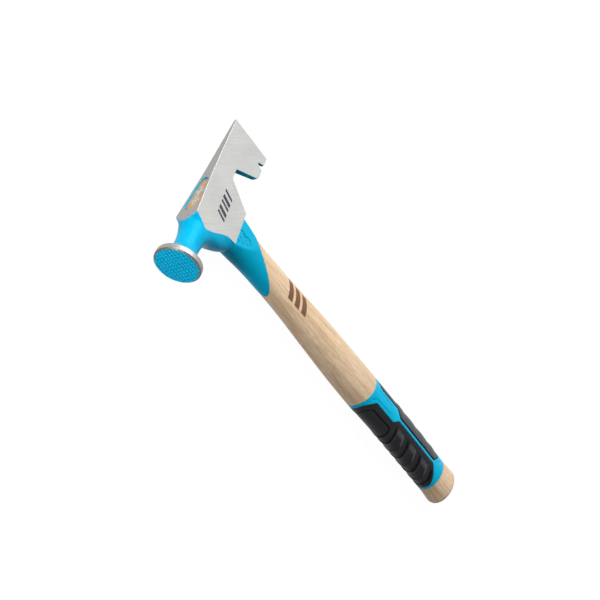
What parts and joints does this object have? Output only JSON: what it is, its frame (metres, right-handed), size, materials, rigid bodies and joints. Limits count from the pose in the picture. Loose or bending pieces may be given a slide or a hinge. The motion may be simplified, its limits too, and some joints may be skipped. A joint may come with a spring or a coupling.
{
  "type": "roofing hatchet",
  "caption": "Hand hatchet with a round milled striking face, a notched blade with a nail slot, a wedged wooden handle, a neck guard and a two-part moulded grip.",
  "frame": {"origin": "on the handle's axis, at the flat end of the butt", "axes": "+X runs along the handle from the butt to the top of the head, +Y points from the cutting edge to the striking face, +Z is square to the cheeks: the hatchet lies on its side"},
  "size_m": [0.36, 0.1413, 0.0352],
  "materials": {
    "head_steel": "satin ground, with blue paint on the neck and the face teeth",
    "handle_wood": "satin lacquer over straight grain",
    "kerf_wedge": "matte",
    "wedge_steel": "satin",
    "guard_blue": "satin",
    "grip_blue": "satin",
    "grip_black": "matte"
  },
  "bodies": {
    "root": {"head": "head_steel", "handle": "handle_wood", "kerf_wedge": "kerf_wedge", "cross_wedge_front": "wedge_steel", "cross_wedge_rear": "wedge_steel", "overstrike_guard": "guard_blue", "grip_sleeve": "grip_blue", "grip_pad_front": "grip_black", "grip_pad_back": "grip_black"}
  },
  "joints": []
}
